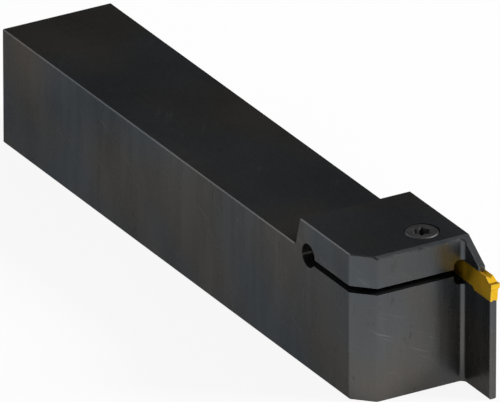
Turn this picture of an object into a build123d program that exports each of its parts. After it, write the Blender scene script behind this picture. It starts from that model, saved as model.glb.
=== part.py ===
from build123d import *
import math
import os

# A turning tool holder for grooving and parting off, in millimetres.
# +X runs along the shank to the cutting end, +Z is up, and +Y points to the side that carries the blade.
# The origin is the middle of the rear end's bottom edge, on the face that the holder is clamped on.

# ---- Shank ----
shank_width = 25.0
shank_height = 25.0
tool_length = 151.5  # rear end to cutting edge
edge_break = 0.2  # small chamfer on the outer edges

# ---- Head ----
head_length = 23.1  # from the top edge at its back to its front face
head_rise = 6.2  # its top above the shank's top
back_lean = 16.0  # degrees that its back wall leans forward
back_fillet = 0.8  # back wall into the shank's top
corner_chamfer = 4.0  # front corner on the side away from the blade
slope_angle = 34.3  # degrees, the face that falls from the head's top along the clamp jaw
slope_start = 0.7  # where that face leaves the head's top, behind the front face

# ---- Blade and clamp jaw, flush with the head's right side ----
blade_thickness = 1.5
blade_reach = 10.1  # blade's front edge ahead of the head's front face
jaw_setback = 4.4  # clamp jaw's nose behind the blade's front edge
root_fillet = 1.0  # blade and jaw into the head's front face

# ---- Sprung slot that frees the clamp jaw ----
slot_width = 1.5
slot_below_edge = 0.6  # slot's roof under the cutting height
relief_diameter = 5.0
relief_setback = 19.8  # relief hole's axis behind the head's front face
relief_below_edge = 0.65  # relief hole's axis under the cutting height

# ---- Open recess in the front face, beside the insert ----
recess_width = 2.3
recess_above_edge = 1.25
recess_below_edge = 4.05
recess_corner = 1.2
recess_depth = 6.0

# ---- Insert ----
insert_length = 16.0
edge_width = 2.0  # the width that it cuts
edge_rise = 0.1  # cutting edge above the level of the shank's top
body_width = 1.6
edge_lead = 0.7  # cutting edge ahead of the blade's front edge
rail_above_edge = 0.8  # top of the insert's body above the cutting edge
body_below_edge = 3.3
foot_below_edge = 3.95
foot_length = 6.65  # deep front part, that ends in the stop ramp
ramp_length = 1.05
vee_width = 1.2  # vee groove along the insert's top and underside
vee_depth = 0.3
side_relief_length = 2.9  # cutting head narrows to the body's width over this length
head_depth = 1.1  # cutting head's height under its edge
head_clearance = 7.0  # degrees, front of the cutting head
body_clearance = 5.0  # degrees, front of the body under it
body_step = 0.3  # body's front behind the cutting head's
step_height = 0.35  # sloping relief between the two
land_length = 0.15  # flat land behind the cutting edge
chip_floor_length = 1.0  # from the cutting edge to the foot of the chip wall
chip_floor_drop = 0.03
chip_wall_length = 2.4  # from the cutting edge to the top of the chip wall
tail_chamfer = 0.5
underside_break = 0.1  # small chamfer on the long edges of its underside

# ---- Clamp screw ----
thread_diameter = 4.0
screw_length = 16.0  # under the head
screw_head_diameter = 7.0
screw_head_height = 4.0
screw_crown_width = 0.9  # rounded rim of the head's top
screw_crown_drop = 0.25
screw_tip_chamfer = 0.5
screw_setback = 6.2  # axis behind the head's front face
screw_inset = 7.4  # axis in from the blade's side
head_sink = 0.05  # screw head's top under the head's top
drive_tip_diameter = 3.9  # six-lobe socket across its lobes
drive_root_diameter = 2.8  # and between them
drive_tip_radius = 0.305
drive_depth = 2.0
drive_lobes = 6
drive_turn = 30.0  # degrees, first lobe's direction from +X

# ---- Fits ----
thread_clearance = 0.05  # radial, screw in its tapped hole
shank_clearance = 0.25  # radial, screw in the jaw's plain hole
counterbore_clearance = 0.1  # radial, screw head in its counterbore
slide_clearance = 0.02  # insert under the clamp jaw
side_clearance = 0.05  # insert beside the deep part of its pocket
tail_clearance = 0.5  # pocket's end behind the insert
tap_spare = 2.5  # tapped hole below the screw's tip
drill_angle = 118.0  # degrees, point of the drilled hole

# ---- Places that follow ----
half_width = shank_width / 2
edge_z = shank_height + edge_rise
head_top = shank_height + head_rise
blade_x = tool_length - edge_lead
front_x = blade_x - blade_reach
jaw_x = blade_x - jaw_setback
head_back_x = front_x - head_length
head_foot_x = head_back_x - head_rise * math.tan(math.radians(back_lean))
slope_x = front_x - slope_start
slope_fall = math.tan(math.radians(slope_angle))
blade_left = half_width - blade_thickness
insert_y = half_width - blade_thickness / 2

rail_z = edge_z + rail_above_edge
body_floor = edge_z - body_below_edge
foot_floor = edge_z - foot_below_edge
seat_blank = foot_floor + vee_depth  # height that the blade is left at before its vee seat is cut
slot_roof = edge_z - slot_below_edge
foot_x = tool_length - foot_length
ramp_x = foot_x - ramp_length
tail_x = tool_length - insert_length
ramp_run = Vector(ramp_length, 0, foot_floor - body_floor)

screw_x = front_x - screw_setback
screw_y = half_width - screw_inset
screw_top = head_top - head_sink
screw_seat = screw_top - screw_head_height
screw_tip = screw_seat - screw_length
tap_radius = thread_diameter / 2 + thread_clearance
tap_floor = screw_tip - tap_spare
drill_point = tap_radius / math.tan(math.radians(drill_angle / 2))


def slope_height(x):
    """Height of the sloping face over the clamp jaw."""
    return head_top - (x - slope_x) * slope_fall


def vee_section(x, left, right, floor, roof):
    """Upright section across the tool, notched by a vee in the middle of its floor and of its roof."""
    vee_left = insert_y - vee_width / 2
    vee_right = insert_y + vee_width / 2
    with BuildSketch(Plane.YZ.offset(x)) as section:
        with BuildLine():
            Polyline(
                (left, floor),
                (vee_left, floor),
                (insert_y, floor + vee_depth),
                (vee_right, floor),
                (right, floor),
                (right, roof),
                (vee_right, roof),
                (insert_y, roof - vee_depth),
                (vee_left, roof),
                (left, roof),
                close=True,
            )
        make_face()
    return section.sketch


def vee_bar(left, right, back, roof, mode):
    """Insert's body, or the room for it: a bar with a deep foot in front, joined to it by the stop ramp."""
    middle = (body_floor + rail_z) / 2
    extrude(vee_section(back, left, right, body_floor, roof), amount=tool_length - back, mode=mode)
    ramp = vee_section(ramp_x, left, right, body_floor, middle)
    extrude(ramp, amount=ramp_run.length, dir=ramp_run.normalized(), mode=mode)
    extrude(vee_section(foot_x, left, right, foot_floor, middle), amount=foot_length, mode=mode)


# ---- Holder body: shank, head, blade and clamp jaw milled from one bar ----
with BuildPart() as holder_body:
    with BuildSketch(Plane.XZ.offset(-half_width)) as side_outline:
        with BuildLine():
            Polyline(
                (0, 0),
                (front_x, 0),
                (front_x, slope_height(front_x)),
                (slope_x, head_top),
                (head_back_x, head_top),
                (head_foot_x, shank_height),
                (0, shank_height),
                close=True,
            )
        make_face()
    extrude(amount=shank_width)

    with BuildSketch(Plane.XZ.offset(-half_width)) as blade_outline:
        with BuildLine():
            Polyline(
                (slope_x, 0),
                (blade_x, 0),
                (blade_x, seat_blank),
                (jaw_x, seat_blank),
                (jaw_x, slope_height(jaw_x)),
                (slope_x, head_top),
                close=True,
            )
        make_face()
    extrude(amount=blade_thickness)

    upright_edges = holder_body.edges().filter_by(Axis.Z)
    blade_root = upright_edges.sort_by_distance((front_x, blade_left, edge_z))[0]
    fillet(blade_root, radius=root_fillet)
    front_corner = holder_body.edges().filter_by(Axis.Z).sort_by_distance((front_x, -half_width, edge_z))[0]
    chamfer(front_corner, length=corner_chamfer)
    back_corner = holder_body.edges().filter_by(Axis.Y).sort_by_distance((head_foot_x, 0, shank_height))[0]
    fillet(back_corner, radius=back_fillet)

    # Every outer edge is broken, apart from those of the sawn rear end and the insert's seat and the blunt
    # ones at the top and the foot of the slope
    smooth_edges = holder_body.faces().filter_by(GeomType.CYLINDER).edges().filter_by(GeomType.LINE)
    rear_edges = holder_body.faces().sort_by(Axis.X)[0].edges()
    seat_face = holder_body.faces().sort_by_distance((blade_x - foot_length / 2, insert_y, seat_blank))[0]
    cross_edges = holder_body.edges().filter_by(Axis.Y)
    slope_ends = [(slope_x, 0, head_top), (jaw_x, insert_y, slope_height(jaw_x))]
    blunt_edges = ShapeList(cross_edges.sort_by_distance(end)[0] for end in slope_ends)
    chamfer(holder_body.edges() - smooth_edges - rear_edges - seat_face.edges() - blunt_edges, length=edge_break)

    # Slot and the relief hole that it ends in, through the full width
    with BuildSketch(Plane.XZ) as slot_outline:
        with Locations((front_x - relief_setback, slot_roof)):
            Rectangle(relief_setback + blade_reach, slot_width, align=(Align.MIN, Align.MAX))
        with Locations((front_x - relief_setback, edge_z - relief_below_edge)):
            Circle(relief_diameter / 2)
    extrude(amount=shank_width, both=True, mode=Mode.SUBTRACT)

    # Recess beside the insert, milled in from the front
    with BuildSketch(Plane.YZ.offset(front_x - recess_depth)) as recess_outline:
        with Locations((blade_left, edge_z - recess_below_edge)):
            Rectangle(recess_width, recess_above_edge + recess_below_edge, align=(Align.MAX, Align.MIN))
        fillet(recess_outline.vertices().group_by(Axis.X)[0], radius=recess_corner)
    extrude(amount=recess_depth + root_fillet, mode=Mode.SUBTRACT)

    # Pocket for the insert, open to the front and to the right, with its vee seats left standing
    pocket_left = insert_y - body_width / 2 - side_clearance
    pocket_right = half_width + body_width
    vee_bar(pocket_left, pocket_right, tail_x - tail_clearance, rail_z + slide_clearance, Mode.SUBTRACT)

    # Counterbore and plain hole through the jaw, tapped hole in the body below the slot
    with BuildSketch(Plane.XY.offset(screw_seat)):
        with Locations((screw_x, screw_y)):
            Circle(screw_head_diameter / 2 + counterbore_clearance)
    extrude(amount=head_sink + screw_head_height, mode=Mode.SUBTRACT)
    with BuildSketch(Plane.XY.offset(slot_roof)):
        with Locations((screw_x, screw_y)):
            Circle(thread_diameter / 2 + shank_clearance)
    extrude(amount=screw_seat - slot_roof, mode=Mode.SUBTRACT)
    with BuildSketch(Plane.XZ.offset(-screw_y)) as tap_outline:
        with BuildLine():
            Polyline(
                (screw_x, slot_roof),
                (screw_x + tap_radius, slot_roof),
                (screw_x + tap_radius, tap_floor),
                (screw_x, tap_floor - drill_point),
                close=True,
            )
        make_face()
    revolve(axis=Axis((screw_x, screw_y, 0), (0, 0, 1)), mode=Mode.SUBTRACT)


# ---- Clamp screw: cap head with a six-lobe socket ----
def drive_outline():
    """Six-lobe outline: round lobe tips joined by hollow arcs, each tangent to the next."""
    half_pitch = math.pi / drive_lobes
    tip_centre = drive_tip_diameter / 2 - drive_tip_radius
    root = drive_root_diameter / 2
    reach = tip_centre * math.cos(half_pitch)
    root_radius = (tip_centre**2 + root**2 - 2 * root * reach - drive_tip_radius**2) / (
        2 * (drive_tip_radius - root + reach)
    )
    towards_root = (Vector(root + root_radius, 0).rotate(Axis.Z, 180 / drive_lobes) - Vector(tip_centre, 0))
    upper_touch = Vector(tip_centre, 0) + towards_root.normalized() * drive_tip_radius
    lower_touch = Vector(upper_touch.X, -upper_touch.Y)
    tip = Vector(drive_tip_diameter / 2, 0)
    hollow = Vector(root, 0).rotate(Axis.Z, 180 / drive_lobes)
    with BuildSketch() as outline:
        with BuildLine():
            for lobe in range(drive_lobes):
                turn = drive_turn + lobe * 360 / drive_lobes
                next_turn = turn + 360 / drive_lobes
                start = lower_touch.rotate(Axis.Z, turn)
                end = upper_touch.rotate(Axis.Z, turn)
                ThreePointArc(start, tip.rotate(Axis.Z, turn), end)
                ThreePointArc(end, hollow.rotate(Axis.Z, turn), lower_touch.rotate(Axis.Z, next_turn))
        make_face()
    return outline.sketch


with BuildPart(Plane((screw_x, screw_y, 0))) as clamp_screw:
    with BuildSketch(Plane((screw_x, screw_y, 0), x_dir=(1, 0, 0), z_dir=(0, -1, 0))):
        with BuildLine():
            rim = (screw_head_diameter / 2, screw_top - screw_crown_drop)
            crown = (screw_head_diameter / 2 - screw_crown_width, screw_top)
            Polyline(
                (0, screw_tip),
                (thread_diameter / 2 - screw_tip_chamfer, screw_tip),
                (thread_diameter / 2, screw_tip + screw_tip_chamfer),
                (thread_diameter / 2, screw_seat),
                (screw_head_diameter / 2, screw_seat),
                rim,
            )
            TangentArc(crown, rim, tangent=(1, 0))
            Polyline(crown, (0, screw_top), (0, screw_tip))
        make_face()
    revolve(axis=Axis((screw_x, screw_y, 0), (0, 0, 1)))
    socket = drive_outline().moved(Location((screw_x, screw_y, screw_top)))
    extrude(socket, amount=-drive_depth, mode=Mode.SUBTRACT)


# ---- Grooving insert: vee-grooved body, deep front foot and a cutting head with a chip former ----
with BuildPart() as grooving_insert:
    body_left = insert_y - body_width / 2
    body_right = insert_y + body_width / 2
    vee_bar(body_left, body_right, tail_x, rail_z, Mode.ADD)

    # Front of the body under the cutting head, leaning back
    head_floor = edge_z - head_depth
    step_x = tool_length - head_depth * math.tan(math.radians(head_clearance))
    body_front = step_x - body_step
    body_lean = (head_floor - step_height - foot_floor) * math.tan(math.radians(body_clearance))
    with BuildSketch(Plane.XZ):
        with BuildLine():
            Polyline(
                (step_x, head_floor),
                (step_x, rail_z),
                (tool_length, rail_z),
                (tool_length, foot_floor),
                (body_front - body_lean, foot_floor),
                (body_front, head_floor - step_height),
                close=True,
            )
        make_face()
    extrude(amount=shank_width, both=True, mode=Mode.SUBTRACT)

    # Cutting head, wider in front than the body
    with BuildSketch(Plane.XY.offset(head_floor)):
        with BuildLine():
            Polyline(
                (tool_length - side_relief_length, body_left),
                (tool_length, insert_y - edge_width / 2),
                (tool_length, insert_y + edge_width / 2),
                (tool_length - side_relief_length, body_right),
                close=True,
            )
        make_face()
    extrude(amount=rail_z - head_floor)

    # Chip former and front clearance in side view, then the vee groove on through its wall
    with BuildSketch(Plane.XZ):
        with BuildLine():
            Polyline(
                (tool_length, head_floor),
                (step_x, head_floor),
                (tool_length, edge_z),
                (tool_length - land_length, edge_z),
                (tool_length - chip_floor_length, edge_z - chip_floor_drop),
                (tool_length - chip_wall_length, rail_z),
                (tool_length + land_length, rail_z),
                (tool_length + land_length, head_floor),
                close=True,
            )
        make_face()
    extrude(amount=shank_width, both=True, mode=Mode.SUBTRACT)
    with BuildSketch(Plane.YZ.offset(tool_length - side_relief_length)):
        with BuildLine():
            Polyline(
                (insert_y - vee_width / 2, rail_z),
                (insert_y, rail_z - vee_depth),
                (insert_y + vee_width / 2, rail_z),
                close=True,
            )
        make_face()
    extrude(amount=side_relief_length, mode=Mode.SUBTRACT)

    # Lead-in under its tail
    with BuildSketch(Plane.XZ):
        with BuildLine():
            Polyline(
                (tail_x, body_floor),
                (tail_x + tail_chamfer + vee_depth, body_floor),
                (tail_x, body_floor + tail_chamfer + vee_depth),
                close=True,
            )
        make_face()
    extrude(amount=shank_width, both=True, mode=Mode.SUBTRACT)

    # Long edges of its underside
    under_edges = grooving_insert.edges().filter_by_position(Axis.Z, foot_floor, body_floor)
    under_left = under_edges.filter_by_position(Axis.Y, body_left, body_left)
    under_right = under_edges.filter_by_position(Axis.Y, body_right, body_right)
    chamfer(under_left + under_right, length=underside_break)


holder_body.part.label = "holder_body"
clamp_screw.part.label = "clamp_screw"
grooving_insert.part.label = "grooving_insert"

os.makedirs("parts", exist_ok=True)
export_step(holder_body.part, "parts/holder_body.step")
export_step(clamp_screw.part, "parts/clamp_screw.step")
export_step(grooving_insert.part, "parts/grooving_insert.step")
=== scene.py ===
import math

import bpy
import numpy as np
from bpy.props import FloatProperty, FloatVectorProperty, IntProperty, PointerProperty
from mathutils import Matrix, Vector


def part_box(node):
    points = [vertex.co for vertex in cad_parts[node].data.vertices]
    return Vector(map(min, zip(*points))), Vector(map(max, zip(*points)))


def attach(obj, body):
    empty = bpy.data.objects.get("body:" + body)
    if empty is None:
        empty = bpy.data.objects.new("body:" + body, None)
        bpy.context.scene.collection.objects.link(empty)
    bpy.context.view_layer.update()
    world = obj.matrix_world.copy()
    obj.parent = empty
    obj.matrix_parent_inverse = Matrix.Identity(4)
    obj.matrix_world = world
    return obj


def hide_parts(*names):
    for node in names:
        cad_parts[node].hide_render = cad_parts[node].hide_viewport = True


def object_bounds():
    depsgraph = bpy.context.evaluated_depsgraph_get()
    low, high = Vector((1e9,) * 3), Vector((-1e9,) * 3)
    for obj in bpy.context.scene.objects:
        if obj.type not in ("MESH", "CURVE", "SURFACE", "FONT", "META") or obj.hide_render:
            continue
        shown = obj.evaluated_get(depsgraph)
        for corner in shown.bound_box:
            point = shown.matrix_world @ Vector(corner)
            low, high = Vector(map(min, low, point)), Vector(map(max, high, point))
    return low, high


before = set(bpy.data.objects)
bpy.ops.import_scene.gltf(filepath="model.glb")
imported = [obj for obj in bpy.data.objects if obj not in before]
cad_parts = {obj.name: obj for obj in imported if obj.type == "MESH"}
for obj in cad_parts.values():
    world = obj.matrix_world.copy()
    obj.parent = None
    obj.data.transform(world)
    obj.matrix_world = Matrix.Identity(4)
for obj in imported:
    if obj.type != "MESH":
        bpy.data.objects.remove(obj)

bl_info = {
    "name": "Turning tool holder",
    "version": (1, 0, 0),
    "blender": (4, 5, 0),
    "location": "View3D > Sidebar > Tool holder",
    "description": "Finishes, clamp screw and studio for a grooving and parting tool holder",
    "category": "Object",
}

cad_low, cad_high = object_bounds()
screw_low, screw_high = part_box("clamp_screw")

# ---- Fixed numbers, lengths in metres ----
LOBES = 6  # of the screw's socket
ROWS_PER_TURN = 16  # rings in one turn of the thread
TIP_CHAMFER = 0.0003  # how far the screw's tip is inside its core
HEAD_LEAD = 0.0001  # broken edge under the screw's head
SOCKET_LEAD = 0.00003  # broken edge at the socket's mouth
SOCKET_CONE = 0.0003  # depth of the shallow cone in the socket's floor
SOCKET_CONE_SHARE = 0.3  # the cone's inner ring as a share of the socket's outline
SOCKET_RINGS = 4  # rings from the socket's mouth to the middle of its floor
SHARP_ANGLE = math.radians(32)  # faces that meet at more than this keep a hard edge

NOISE_SPAN = (0.3, 0.7)  # nearly all values of a noise
PATCH_SPAN = (0.35, 0.65)  # a firmer border between two patches of a noise
WEAR_SPAN = (0.35, 0.6)  # from rarely rubbed to always rubbed
NOISE_MIDDLE = 0.5
FULL = (0.0, 1.0)  # the whole span of a mask
BEVEL_SAMPLES = 6  # rays that find the rounded normal near an edge
BLACKENED_METALLIC = 0.85
BLACKENED_TINT = (0.18, 0.18, 0.18, 1)  # dulls the mirroring at a grazing angle

SCRATCH_WIDTH = 0.00022
SCRATCH_GROUP = 0.006  # width of a group of scratches
STAIN_SIZE = 0.0014
GRINDING_WIDTH = 0.0002  # of one fine line of the grinding
GRINDING_DEPTH = 0.00002
BODY_WEAR_SIZE = 0.0016  # of one rubbed or spared stretch of an edge
PIT_SIZE = 0.0006
PIT_DEPTH = 0.00003
SCREW_PATCH = 0.0015
SCREW_WEAR_SIZE = 0.0005
SCREW_WEAR_DEPTH = 0.00002
SCREW_EDGE = 0.00012  # how far the wear reaches in from the screw's edges
SCREW_WORN = (0.32, 0.32, 0.31)
SOCKET_PATCH = 0.0007
COATING_PATCH = 0.0025  # width of one thicker or thinner patch of the coating
# The paler colour at the coating's edges is a painted highlight.
PAINTED_HIGHLIGHT_REACH = 0.00008  # how far the paler edge of the coating reaches in
PAINTED_HIGHLIGHT_GOLD = (1.0, 0.8, 0.3)
GRAIN_DEPTH = 0.000008

FLOOR_GAP = 0.00005  # keeps the underside out of the floor's own plane
FLOOR_REACH = 12.0  # from the tool to the floor's edges
CAMERA_GLOW = 0.9  # how near to white the camera sees the floor
MIRROR_GLOW = 0.5  # and how near to white a mirror does
SENSOR_WIDTH = 36.0  # in millimetres


# ---- Settings ----
class SteelSettings(bpy.types.PropertyGroup):
    """Blackened steel of the holder body."""

    neutral: FloatVectorProperty(
        name="Neutral", description="Commonest colour of the blackened steel",
        subtype="COLOR", min=0, max=1, default=(0.0925, 0.0925, 0.0925))
    cool: FloatVectorProperty(
        name="Cool cloud", description="Bluish clouds left by the blackening",
        subtype="COLOR", min=0, max=1, default=(0.084, 0.0915, 0.099))
    warm: FloatVectorProperty(
        name="Warm cloud", description="Brownish clouds left by the blackening",
        subtype="COLOR", min=0, max=1, default=(0.099, 0.0925, 0.0865))
    # Lighter edge colour: black rubbed off the edges, and also a painted highlight along them.
    worn_edge_and_highlight: FloatVectorProperty(
        name="Worn edge", description="Steel that shows where the black is rubbed off an edge",
        subtype="COLOR", min=0, max=1, default=(0.25, 0.25, 0.25))
    cloud_size: FloatProperty(
        name="Cloud size", description="Width of one cloud of colour", unit="LENGTH", default=0.022)
    cloud_place: FloatVectorProperty(
        name="Cloud place", description="Shift of the cool and warm clouds",
        subtype="TRANSLATION", unit="LENGTH", default=(0.181, 0.22, -0.223))
    patch_place: FloatVectorProperty(
        name="Patch place", description="Shift of the light and dark patches",
        subtype="TRANSLATION", unit="LENGTH", default=(0.049, -0.244, -0.04))
    smear_width: FloatProperty(
        name="Smear width", description="Width of an upright smear on the sides",
        unit="LENGTH", default=0.004)
    # The wear and its painted edge highlight reach in this far.
    edge_width: FloatProperty(
        name="Edge width", description="How far the wear reaches in from an edge",
        unit="LENGTH", default=0.0001)
    scratch_turn: FloatVectorProperty(
        name="Scratch turn", description="Turn of the handling scratches about each axis",
        subtype="EULER", unit="ROTATION", default=(-0.4, 0.35, 0.0))
    ripple_size: FloatProperty(
        name="Ripple size", description="Width of one shallow ripple left by grinding",
        unit="LENGTH", default=0.01)
    ripple_height: FloatProperty(
        name="Ripple height", description="Height of the ripples", unit="LENGTH", default=0.00014)
    roughness: FloatProperty(
        name="Roughness", description="Middle of the steel's roughness",
        subtype="FACTOR", min=0, max=1, default=0.27)


class ScrewSettings(bpy.types.PropertyGroup):
    """Clamp screw: sizes of its thread, head and socket, and its finish."""

    thread_pitch: FloatProperty(
        name="Pitch", description="Rise of the thread in one turn", unit="LENGTH", default=0.0007)
    thread_diameter: FloatProperty(
        name="Thread diameter", description="Over the thread's crests", unit="LENGTH", default=0.004)
    core_diameter: FloatProperty(
        name="Core diameter", description="At the bottom of the thread", unit="LENGTH", default=0.00324)
    head_height: FloatProperty(
        name="Head height", description="Height of the cap head", unit="LENGTH", default=0.004)
    rim_width: FloatProperty(
        name="Rim width", description="Width of the broken edge round the head's top",
        unit="LENGTH", default=0.0004)
    rim_drop: FloatProperty(
        name="Rim drop", description="How far that broken edge falls", unit="LENGTH", default=0.0003)
    socket_tips: FloatProperty(
        name="Socket over lobes", description="Six-lobe socket across two opposite lobes",
        unit="LENGTH", default=0.0039)
    socket_roots: FloatProperty(
        name="Socket between lobes", description="Six-lobe socket across two opposite hollows",
        unit="LENGTH", default=0.0028)
    socket_lobe: FloatProperty(
        name="Lobe radius", description="Radius of the tip of one lobe", unit="LENGTH", default=0.000305)
    socket_depth: FloatProperty(
        name="Socket depth", description="Depth of the socket under the head's top",
        unit="LENGTH", default=0.002)
    columns: IntProperty(
        name="Columns", description="Points round the screw, a multiple of the six lobes", default=120)
    colour: FloatVectorProperty(
        name="Screw steel", description="Colour of the screw's blackened steel",
        subtype="COLOR", min=0, max=1, default=(0.108, 0.108, 0.11))
    roughness: FloatProperty(
        name="Roughness", description="Middle of the screw's roughness",
        subtype="FACTOR", min=0, max=1, default=0.45)


class InsertSettings(bpy.types.PropertyGroup):
    """Gold-coloured coating of the insert."""

    colour: FloatVectorProperty(
        name="Coating", description="Commonest colour of the coating",
        subtype="COLOR", min=0, max=1, default=(0.92, 0.58, 0.03))
    deep: FloatVectorProperty(
        name="Thick coating", description="Colour where the coating is a little thicker",
        subtype="COLOR", min=0, max=1, default=(0.84, 0.48, 0.02))
    grain: FloatProperty(
        name="Grain", description="Width of the pressed carbide's grain under the coating",
        unit="LENGTH", default=0.00006)
    roughness: FloatProperty(
        name="Roughness", description="Middle of the coating's roughness",
        subtype="FACTOR", min=0, max=1, default=0.45)


class StudioSettings(bpy.types.PropertyGroup):
    """Floor, lamps and camera."""

    floor: FloatVectorProperty(
        name="Floor", description="Colour of the floor",
        subtype="COLOR", min=0, max=1, default=(0.95, 0.95, 0.95))
    azimuth: FloatProperty(
        name="Azimuth", description="Camera's turn from square to the left side towards the cutting end, "
        "in degrees", default=59.83)
    elevation: FloatProperty(
        name="Elevation", description="Camera's angle above the floor, in degrees", default=25.21)
    frame_width: FloatProperty(
        name="Frame width", description="Width of the view at the tool", unit="LENGTH", default=0.09858)
    lens: FloatProperty(
        name="Lens", description="Focal length in millimetres, long enough for a nearly parallel view",
        default=1350.0)
    aim: FloatVectorProperty(
        name="Aim", description="Point in the middle of the view",
        subtype="TRANSLATION", unit="LENGTH", default=(0.0768, 0.0, 0.01534))
    key_strength: FloatProperty(
        name="Key light", description="Power of the lamp in front on the right, in watts", default=30.0)
    side_strength: FloatProperty(
        name="Side light", description="Power of the long lamp behind on the left, in watts", default=6.5)


# ---- Nodes ----
def wire(tree, made, inputs):
    """Give each input, by its name or number, its value or the output that feeds it."""
    for key, value in inputs.items():
        if isinstance(value, bpy.types.NodeSocket):
            tree.links.new(value, made.inputs[key])
        else:
            made.inputs[key].default_value = value


def node(tree, kind, inputs=None, **settings):
    """Add a node, with its settings and its inputs."""
    made = tree.nodes.new("ShaderNode" + kind)
    for name, value in settings.items():
        setattr(made, name, value)
    wire(tree, made, inputs or {})
    return made


def noise(tree, coords, size, detail=2.0, rough=0.5, stretch=(1, 1, 1), turn=(0, 0, 0), at=(0, 0, 0)):
    """Soft noise, 0 to 1, with features about size wide, and stretch times that along each turned axis.

    The pattern is moved to the place that at gives.
    """
    inputs = {"Vector": coords, "Location": at, "Rotation": turn, "Scale": [size * s for s in stretch]}
    place = node(tree, "Mapping", inputs, vector_type="TEXTURE").outputs[0]
    inputs = {"Vector": place, "Scale": 1.0, "Detail": detail, "Roughness": rough}
    return node(tree, "TexNoise", inputs).outputs["Fac"]


def remap(tree, value, span, to_span):
    """Map a value from one span to another and clamp it there."""
    inputs = {0: value, 1: span[0], 2: span[1], 3: to_span[0], 4: to_span[1]}
    return node(tree, "MapRange", inputs).outputs[0]


def colour_ramp(tree, value, stops):
    """Colour at a value, from stops of position and colour in rising order."""
    made = node(tree, "ValToRGB", {0: value})
    elements = made.color_ramp.elements
    for element, (position, colour) in zip(elements, (stops[0], stops[-1])):
        element.position, element.color = position, (*colour, 1)
    for position, colour in stops[1:-1]:
        elements.new(position).color = (*colour, 1)
    return made.outputs[0]


def mix_colour(tree, factor, first, second):
    """Mix two colours, each a colour or an output: the first at a factor of 0, the second at 1."""
    ends = [end if isinstance(end, bpy.types.NodeSocket) else (*end, 1) for end in (first, second)]
    return node(tree, "Mix", {0: factor, 6: ends[0], 7: ends[1]}, data_type="RGBA").outputs[2]


def maths(tree, operation, first, second):
    """Work out one step of arithmetic on two numbers or outputs."""
    return node(tree, "Math", {0: first, 1: second}, operation=operation).outputs[0]


def product(tree, first, *others):
    """Multiply numbers or outputs with each other."""
    for other in others:
        first = maths(tree, "MULTIPLY", first, other)
    return first


def bump(tree, height, strength, distance, under=None):
    """Relief of a height, on top of the relief under it."""
    inputs = {"Strength": strength, "Distance": distance, "Height": height}
    if under is not None:
        inputs["Normal"] = under
    return node(tree, "Bump", inputs).outputs[0]


def edge_mask(tree, width, full=0.85, none=0.98):
    """1 on an edge or a narrow chamfer, 0 on open faces.

    The mask is how far a normal that is rounded over width leaves the face's own: none and full are the
    cosines of the angle between the two where the mask starts and where it is 1.
    """
    rounded = node(tree, "Bevel", {"Radius": width}, samples=BEVEL_SAMPLES).outputs[0]
    true = node(tree, "NewGeometry").outputs["Normal"]
    match = node(tree, "VectorMath", {0: rounded, 1: true}, operation="DOT_PRODUCT")
    return remap(tree, match.outputs["Value"], (none, full), FULL)


def new_material(name):
    """Empty material, with its tree and its Principled shader."""
    material = bpy.data.materials.new(name)
    material.use_nodes = True
    tree = material.node_tree
    return material, tree, tree.nodes["Principled BSDF"]


# ---- Finishes ----
def steel_shade(tree, look, coords, smears):
    """How light the steel is: smears, wide patches, light scratches in groups and small dark stains.

    The scratches and the stains are the peaks of their noises.
    """
    patch_size = 1.2 * look.cloud_size
    patches = noise(tree, coords, patch_size, detail=1.0, stretch=(1, 0.7, 1.5), at=look.patch_place)
    lines = noise(tree, coords, SCRATCH_WIDTH, detail=1.0, stretch=(40, 40, 1), turn=look.scratch_turn)
    groups = noise(tree, coords, SCRATCH_GROUP, detail=1.0)
    scratches = product(
        tree,
        remap(tree, lines, (0.66, 0.8), (0.0, 0.8)),
        remap(tree, groups, (0.45, 0.6), FULL))
    stains = noise(tree, coords, STAIN_SIZE, detail=3.0, stretch=(1, 1, 2.5))
    return product(
        tree,
        remap(tree, smears, NOISE_SPAN, (0.95, 1.05)),
        remap(tree, patches, NOISE_SPAN, (0.86, 1.14)),
        maths(tree, "ADD", scratches, 1.0),
        remap(tree, stains, (0.66, 0.76), (1.0, 0.72)))


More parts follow.
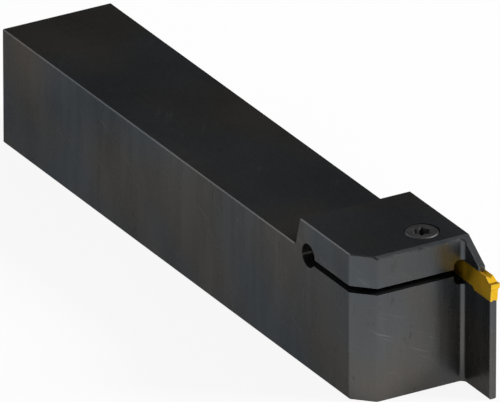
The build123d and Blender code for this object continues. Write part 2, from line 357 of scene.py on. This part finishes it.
def blackened_steel(look):
    """Ground steel, blackened: cool and warm clouds, upright smears, fine grinding lines, and rubbed edges
    that are lighter also as a painted highlight.
    """
    material, tree, shader = new_material("blackened_steel")
    places = node(tree, "TexCoord").outputs
    coords = places["Object"]

    # The smears run down the sides and fade on faces that look up.
    facing = node(tree, "SeparateXYZ", {0: places["Normal"]}).outputs["Z"]
    upright = remap(tree, facing, (0.3, 0.9), (1.0, 0.15))
    smears = noise(tree, coords, look.smear_width, detail=3.0, stretch=(0.7, 0.7, 5))
    swing = product(tree, maths(tree, "SUBTRACT", smears, NOISE_MIDDLE), upright)
    smears = maths(tree, "ADD", swing, NOISE_MIDDLE)

    clouds = noise(
        tree, coords, look.cloud_size, detail=1.5, rough=0.45, stretch=(1.2, 0.8, 1), at=look.cloud_place)
    clouded = colour_ramp(tree, clouds, ((0.36, look.cool), (0.5, look.neutral), (0.66, look.warm)))
    shade = steel_shade(tree, look, coords, smears)
    shaded = node(tree, "VectorMath", {0: clouded, 1: shade}, operation="MULTIPLY").outputs[0]
    # Rubbed edges: the lighter worn colour is bare steel, and also a painted highlight along the edges.
    rubbing = noise(tree, coords, BODY_WEAR_SIZE, detail=4.0, rough=0.65)
    edges = edge_mask(tree, look.edge_width, full=0.88, none=0.985)
    wear = product(tree, edges, remap(tree, rubbing, WEAR_SPAN, (0.25, 1.0)))

    grinding = noise(tree, coords, GRINDING_WIDTH, detail=2.0, stretch=(60, 1, 1))
    rough = remap(tree, smears, NOISE_SPAN, (look.roughness - 0.05, look.roughness + 0.07))
    ripples = noise(tree, coords, look.ripple_size, detail=1.0, stretch=(1, 1, 3))
    pits = noise(tree, coords, PIT_SIZE, detail=3.0)
    relief = bump(tree, ripples, strength=1.0, distance=look.ripple_height)
    relief = bump(tree, grinding, strength=0.03, distance=GRINDING_DEPTH, under=relief)
    wire(tree, shader, {
        "Base Color": mix_colour(tree, wear, shaded, look.worn_edge_and_highlight),
        "Roughness": maths(tree, "ADD", rough, remap(tree, grinding, NOISE_SPAN, (-0.02, 0.02))),
        "Metallic": BLACKENED_METALLIC,
        "Specular Tint": BLACKENED_TINT,
        "Normal": bump(tree, pits, strength=0.015, distance=PIT_DEPTH, under=relief),
    })
    return material


def mottled(tree, patches, colour, dark, light):
    """Colour that goes with the patches from dark times itself to light times itself."""
    factor = remap(tree, patches, PATCH_SPAN, FULL)
    return mix_colour(tree, factor, [dark * c for c in colour], [light * c for c in colour])


def screw_steel(look):
    """Blackened screw steel: lighter and rougher than the body, rubbed on its rim and its socket's mouth."""
    material, tree, shader = new_material("screw_black_steel")
    coords = node(tree, "TexCoord").outputs["Object"]
    patches = noise(tree, coords, SCREW_PATCH, detail=3.0, rough=0.6)
    rubbing = noise(tree, coords, SCREW_WEAR_SIZE, detail=3.0)
    wear = product(tree, edge_mask(tree, SCREW_EDGE), remap(tree, rubbing, WEAR_SPAN, (0.1, 0.4)))
    wire(tree, shader, {
        "Base Color": mix_colour(tree, wear, mottled(tree, patches, look.colour, 0.86, 1.12), SCREW_WORN),
        "Roughness": remap(tree, patches, NOISE_SPAN, (look.roughness - 0.05, look.roughness + 0.07)),
        "Metallic": BLACKENED_METALLIC,
        "Specular Tint": BLACKENED_TINT,
        "Normal": bump(tree, rubbing, strength=0.12, distance=SCREW_WEAR_DEPTH),
    })
    return material


def painted_shade_socket_steel(look):
    """Blackened steel inside the socket, matte, in patches, and darker than the head's: a painted shade of
    the deep socket.
    """
    material, tree, shader = new_material("socket_steel_painted_shade")
    coords = node(tree, "TexCoord").outputs["Object"]
    patches = noise(tree, coords, SOCKET_PATCH, detail=3.0, rough=0.6)
    wire(tree, shader, {
        # Darker than the head's colour: painted shade in the socket.
        "Base Color": mottled(tree, patches, look.colour, 0.5, 0.65),
        "Roughness": remap(tree, patches, NOISE_SPAN, (0.5, 0.65)),
        "Metallic": 0.1,
        "Specular IOR Level": 0.25,
        "Specular Tint": BLACKENED_TINT,
    })
    return material


def gold_coating(look):
    """Gold-coloured nitride coating on pressed carbide: small changes of thickness, a very fine grain, and
    paler edges that are a painted highlight.
    """
    material, tree, shader = new_material("gold_nitride_coating")
    coords = node(tree, "TexCoord").outputs["Object"]
    thickness = noise(tree, coords, COATING_PATCH, detail=3.0, rough=0.55)
    colour = mix_colour(tree, remap(tree, thickness, (0.35, 0.7), FULL), look.colour, look.deep)
    grain = noise(tree, coords, look.grain, detail=2.0)
    rough = remap(tree, thickness, NOISE_SPAN, (look.roughness - 0.05, look.roughness + 0.08))
    wire(tree, shader, {
        # Paler edges of the coating: a painted highlight.
        "Base Color": mix_colour(tree, edge_mask(tree, PAINTED_HIGHLIGHT_REACH), colour, PAINTED_HIGHLIGHT_GOLD),
        "Roughness": maths(tree, "ADD", rough, remap(tree, grain, NOISE_SPAN, (-0.03, 0.03))),
        "Metallic": 1.0,
        "Normal": bump(tree, grain, strength=0.15, distance=GRAIN_DEPTH),
    })
    return material


def dress(name, material):
    """Give a CAD node the material in each of its slots."""
    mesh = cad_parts[name].data
    if not mesh.materials:
        mesh.materials.append(material)
    for index in range(len(mesh.materials)):
        mesh.materials[index] = material


# ---- Shapes ----
def lobed_radius(angle, tips, roots, tip_radius, lobes):
    """Distance from the axis to a lobed outline, for an array of angles.

    Each lobe's tip is an arc about a point on the lobe's ray, and each hollow an arc about a point on the
    ray between two lobes. A ray from the axis meets an arc at c cos(a) plus or minus the root of R squared
    less (c sin(a)) squared, where c is the distance to the arc's centre, R its radius and a the angle from
    its ray: plus for a tip, which curves round its centre, and minus for a hollow. The two arcs touch
    where the line between their centres meets them.
    """
    half_pitch = math.pi / lobes
    tip_centre = tips / 2 - tip_radius
    root = roots / 2
    reach = tip_centre * math.cos(half_pitch)
    hollow_radius = (tip_centre**2 + root**2 - 2 * root * reach - tip_radius**2) / (
        2 * (tip_radius - root + reach))
    hollow_centre = root + hollow_radius
    run = Vector((hollow_centre * math.cos(half_pitch) - tip_centre, hollow_centre * math.sin(half_pitch)))
    touch = Vector((tip_centre, 0)) + run.normalized() * tip_radius
    touch_angle = math.atan2(touch.y, touch.x)
    off_tip = np.abs((angle + half_pitch) % (2 * half_pitch) - half_pitch)
    off_hollow = half_pitch - off_tip
    tip_arc = tip_centre * np.cos(off_tip) + np.sqrt(
        np.maximum(tip_radius**2 - (tip_centre * np.sin(off_tip)) ** 2, 0))
    hollow_arc = hollow_centre * np.cos(off_hollow) - np.sqrt(
        np.maximum(hollow_radius**2 - (hollow_centre * np.sin(off_hollow)) ** 2, 0))
    return np.where(off_tip <= touch_angle, tip_arc, hollow_arc)


def thread_radius(height, angle, look, low, high):
    """Radius of a right-hand thread at each height and angle.

    The place across one thread is the height over the pitch less the angle in turns. Flat crests an eighth
    of the pitch wide and flat roots a quarter of it wide are joined by straight flanks. The thread's depth
    grows from nothing at low to full over one pitch, and goes back to nothing over the pitch before high.
    """
    crest_edge, root_edge = 1 / 16, 3 / 8
    across = (height / look.thread_pitch - angle / (2 * math.pi)) % 1.0
    off_crest = np.abs(across - 0.5)
    fall = np.clip((off_crest - crest_edge) / (root_edge - crest_edge), 0, 1)
    depth = (look.thread_diameter - look.core_diameter) / 2
    fade = np.clip(np.minimum(height - low, high - height) / look.thread_pitch, 0, 1)
    return look.core_diameter / 2 + depth * (1 - fall) * fade


def screw_rings(look, low, high, head_radius):
    """Screw as rings from its tip up over the head and down its socket: radius and height at each angle.

    The shank is the thread, kept inside a cone that opens at 45 degrees from the tip, and the thread has
    run out a pitch below the head. The head is a turned profile, and the socket is the lobed outline,
    which a shallow cone closes at its floor.
    """
    angle = np.linspace(0, 2 * math.pi, look.columns, endpoint=False)
    seat = high - look.head_height
    rows = round((seat - low) / look.thread_pitch * ROWS_PER_TURN) + 1
    grid_height, grid_angle = np.meshgrid(np.linspace(low, seat, rows), angle, indexing="ij")
    thread = thread_radius(grid_height, grid_angle, look, low - look.thread_pitch, seat - look.thread_pitch)
    cone = look.core_diameter / 2 - TIP_CHAMFER + (grid_height - low)
    head = np.array([
        (head_radius - HEAD_LEAD, seat),
        (head_radius, seat + HEAD_LEAD),
        (head_radius, high - look.rim_drop),
        (head_radius - look.rim_width, high),
    ])
    socket = lobed_radius(
        angle - math.pi / LOBES, look.socket_tips, look.socket_roots, look.socket_lobe, LOBES)
    floor = high - look.socket_depth
    level = np.ones(look.columns)
    radius = np.vstack([
        np.minimum(thread, cone),
        np.outer(head[:, 0], level),
        [socket + SOCKET_LEAD, socket, socket, socket * SOCKET_CONE_SHARE],
    ])
    height = np.vstack([
        grid_height,
        np.outer(head[:, 1], level),
        np.outer([high, high - SOCKET_LEAD, floor, floor - SOCKET_CONE], level),
    ])
    return radius, height, angle


def closed_turned_mesh(name, radius, height, angle, centre):
    """Mesh of rings round an upright axis, closed by a point in the middle of its first and last rings.

    Its faces are those between the rings, in order, then the fan of the first ring and that of the last.
    """
    rows, columns = radius.shape
    x = centre[0] + radius * np.cos(angle)
    y = centre[1] + radius * np.sin(angle)
    points = np.stack([x, y, height], axis=-1).reshape(-1, 3)
    ends = [(centre[0], centre[1], height[0].mean()), (centre[0], centre[1], height[-1].mean())]
    points = np.vstack([points, ends])
    index = np.arange(rows * columns).reshape(rows, columns)
    after = np.roll(index, -1, axis=1)
    quads = np.stack([index[:-1], after[:-1], after[1:], index[1:]], axis=-1).reshape(-1, 4)
    first = np.stack([after[0], index[0], np.full(columns, rows * columns)], axis=-1)
    last = np.stack([index[-1], after[-1], np.full(columns, rows * columns + 1)], axis=-1)
    mesh = bpy.data.meshes.new(name)
    mesh.from_pydata(points.tolist(), [], quads.tolist() + first.tolist() + last.tolist())
    mesh.validate()
    mesh.shade_smooth()
    mesh.set_sharp_from_angle(angle=SHARP_ANGLE)
    return mesh


def place(name, mesh, *materials):
    """Add an object at the origin, with its place in its mesh."""
    for material in materials:
        mesh.materials.append(material)
    made = bpy.data.objects.new(name, mesh)
    bpy.context.scene.collection.objects.link(made)
    return made


# ---- Studio ----
def pale_floor(look, height):
    """Plain floor under the tool. Camera and mirrors see it nearer to white, and it keeps a faint shadow."""
    material, tree, shader = new_material("pale_floor")
    wire(tree, shader, {"Base Color": (*look.floor, 1), "Roughness": 0.9, "Specular IOR Level": 0.0})
    glow = node(tree, "Emission", {"Color": (1, 1, 1, 1), "Strength": 1.0})
    rays = node(tree, "LightPath").outputs
    mirrored = maths(tree, "MAXIMUM", rays["Is Glossy Ray"], rays["Is Transmission Ray"])
    seen = maths(
        tree, "MAXIMUM",
        product(tree, rays["Is Camera Ray"], CAMERA_GLOW),
        product(tree, mirrored, MIRROR_GLOW))
    paler = node(tree, "MixShader", {0: seen, 1: shader.outputs[0], 2: glow.outputs[0]})
    wire(tree, tree.nodes["Material Output"], {"Surface": paler.outputs[0]})
    corners = [(x * FLOOR_REACH, y * FLOOR_REACH, height) for x, y in ((-1, -1), (1, -1), (1, 1), (-1, 1))]
    mesh = bpy.data.meshes.new("floor")
    mesh.from_pydata(corners, [], [(0, 1, 2, 3)])
    place("floor", mesh, material)


def direction(azimuth, elevation):
    """Unit vector at an azimuth, from the cutting end round towards the right side, and an elevation."""
    a, e = math.radians(azimuth), math.radians(elevation)
    return Vector((math.cos(a) * math.cos(e), math.sin(a) * math.cos(e), math.sin(e)))


def soft_lamp(name, azimuth, elevation, distance, width, height, power, aim):
    """Soft lamp that points at the tool, from an azimuth and an elevation in degrees."""
    data = bpy.data.lights.new(name, "AREA")
    data.shape = "RECTANGLE"
    data.size, data.size_y = width, height
    data.energy = power
    lamp = bpy.data.objects.new(name, data)
    towards = direction(azimuth, elevation)
    turn = towards.to_track_quat("Z", "Y").to_matrix().to_4x4()
    lamp.matrix_world = Matrix.Translation(aim + towards * distance) @ turn
    bpy.context.scene.collection.objects.link(lamp)


def soft_sky():
    """Studio walls as a sky: pale at the floor's edge, dark above it, and paler again overhead."""
    world = bpy.data.worlds.new("soft_sky")
    world.use_nodes = True
    tree = world.node_tree
    rise = node(tree, "SeparateXYZ", {0: node(tree, "TexCoord").outputs["Generated"]}).outputs["Z"]
    levels = ((0.05, 1.0), (0.17, 0.12), (0.55, 0.085), (0.80, 0.22))
    sky = colour_ramp(tree, rise, [(position, (level,) * 3) for position, level in levels])
    wire(tree, tree.nodes["Background"], {"Color": sky})
    bpy.context.scene.world = world


def set_camera(look):
    """Camera on a long lens, as far back as the lens needs for the frame width."""
    data = bpy.data.cameras.new("camera")
    data.sensor_width = SENSOR_WIDTH
    data.lens = look.lens
    camera = bpy.data.objects.new("camera", data)
    back = direction(look.azimuth - 90, look.elevation)
    distance = look.frame_width * look.lens / SENSOR_WIDTH
    data.clip_start, data.clip_end = 0.01 * distance, 10 * distance
    turn = (-back).to_track_quat("-Z", "Y").to_matrix().to_4x4()
    camera.matrix_world = Matrix.Translation(Vector(look.aim) + back * distance) @ turn
    bpy.context.scene.collection.objects.link(camera)
    bpy.context.scene.camera = camera


# ---- Operators ----
class TOOLHOLDER_OT_finish_body(bpy.types.Operator):
    """Give the holder body its blackened steel"""

    bl_idname = "toolholder.finish_body"
    bl_label = "Finish holder body"

    def execute(self, context):
        dress("holder_body", blackened_steel(context.scene.toolholder_steel))
        return {"FINISHED"}


class TOOLHOLDER_OT_make_screw(bpy.types.Operator):
    """Make the threaded clamp screw with its six-lobe socket"""

    bl_idname = "toolholder.make_screw"
    bl_label = "Make clamp screw"

    def execute(self, context):
        look = context.scene.toolholder_screw
        centre = (screw_low + screw_high) / 2
        head_radius = (screw_high.x - screw_low.x) / 2
        radius, height, angle = screw_rings(look, screw_low.z, screw_high.z, head_radius)
        mesh = closed_turned_mesh("threaded_clamp_screw", radius, height, angle, centre)
        screw = place("threaded_clamp_screw", mesh, screw_steel(look), painted_shade_socket_steel(look))
        rows, columns = radius.shape
        in_socket = np.zeros(len(mesh.polygons), int)
        in_socket[(rows - SOCKET_RINGS) * columns:(rows - 1) * columns] = 1
        in_socket[-columns:] = 1
        mesh.polygons.foreach_set("material_index", in_socket)
        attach(screw, "screw")
        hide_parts("clamp_screw")
        return {"FINISHED"}


class TOOLHOLDER_OT_finish_insert(bpy.types.Operator):
    """Give the grooving insert its gold-coloured coating"""

    bl_idname = "toolholder.finish_insert"
    bl_label = "Finish insert"

    def execute(self, context):
        dress("grooving_insert", gold_coating(context.scene.toolholder_insert))
        return {"FINISHED"}


class TOOLHOLDER_OT_make_studio(bpy.types.Operator):
    """Set up the floor, the sky, the lamps and the camera"""

    bl_idname = "toolholder.make_studio"
    bl_label = "Make studio"

    def execute(self, context):
        look = context.scene.toolholder_studio
        pale_floor(look, cad_low.z - FLOOR_GAP)
        middle = (cad_low + cad_high) / 2
        soft_lamp(
            "key_lamp", azimuth=58, elevation=33, distance=1.6, width=0.6, height=0.6,
            power=look.key_strength, aim=middle)
        soft_lamp(
            "side_lamp", azimuth=226, elevation=34, distance=1.4, width=2.6, height=0.6,
            power=look.side_strength, aim=middle)
        soft_sky()
        set_camera(look)
        context.scene.view_settings.view_transform = "Standard"
        return {"FINISHED"}


class TOOLHOLDER_PT_panel(bpy.types.Panel):
    """Steps that dress the tool holder"""

    bl_idname = "TOOLHOLDER_PT_panel"
    bl_label = "Tool holder"
    bl_space_type = "VIEW_3D"
    bl_region_type = "UI"
    bl_category = "Tool holder"

    def draw(self, context):
        for step, group, title in STEPS:
            box = self.layout.box()
            box.label(text=title)
            settings = getattr(context.scene, group)
            for key in settings.__annotations__:
                box.prop(settings, key)
            box.operator(step)


STEPS = (
    ("toolholder.finish_body", "toolholder_steel", "Holder body"),
    ("toolholder.make_screw", "toolholder_screw", "Clamp screw"),
    ("toolholder.finish_insert", "toolholder_insert", "Grooving insert"),
    ("toolholder.make_studio", "toolholder_studio", "Studio"),
)
GROUPS = {
    "toolholder_steel": SteelSettings,
    "toolholder_screw": ScrewSettings,
    "toolholder_insert": InsertSettings,
    "toolholder_studio": StudioSettings,
}
CLASSES = (
    *GROUPS.values(),
    TOOLHOLDER_OT_finish_body,
    TOOLHOLDER_OT_make_screw,
    TOOLHOLDER_OT_finish_insert,
    TOOLHOLDER_OT_make_studio,
    TOOLHOLDER_PT_panel,
)


def register():
    """Register the classes, and give the scene its settings."""
    for cls in CLASSES:
        bpy.utils.register_class(cls)
    for name, group in GROUPS.items():
        setattr(bpy.types.Scene, name, PointerProperty(type=group))


def unregister():
    """Take the settings and the classes away again."""
    for name in GROUPS:
        delattr(bpy.types.Scene, name)
    for cls in reversed(CLASSES):
        bpy.utils.unregister_class(cls)


def main():
    """Run every step in order."""
    register()
    bpy.ops.toolholder.finish_body()
    bpy.ops.toolholder.make_screw()
    bpy.ops.toolholder.finish_insert()
    bpy.ops.toolholder.make_studio()


if __name__ == "__main__":
    main()
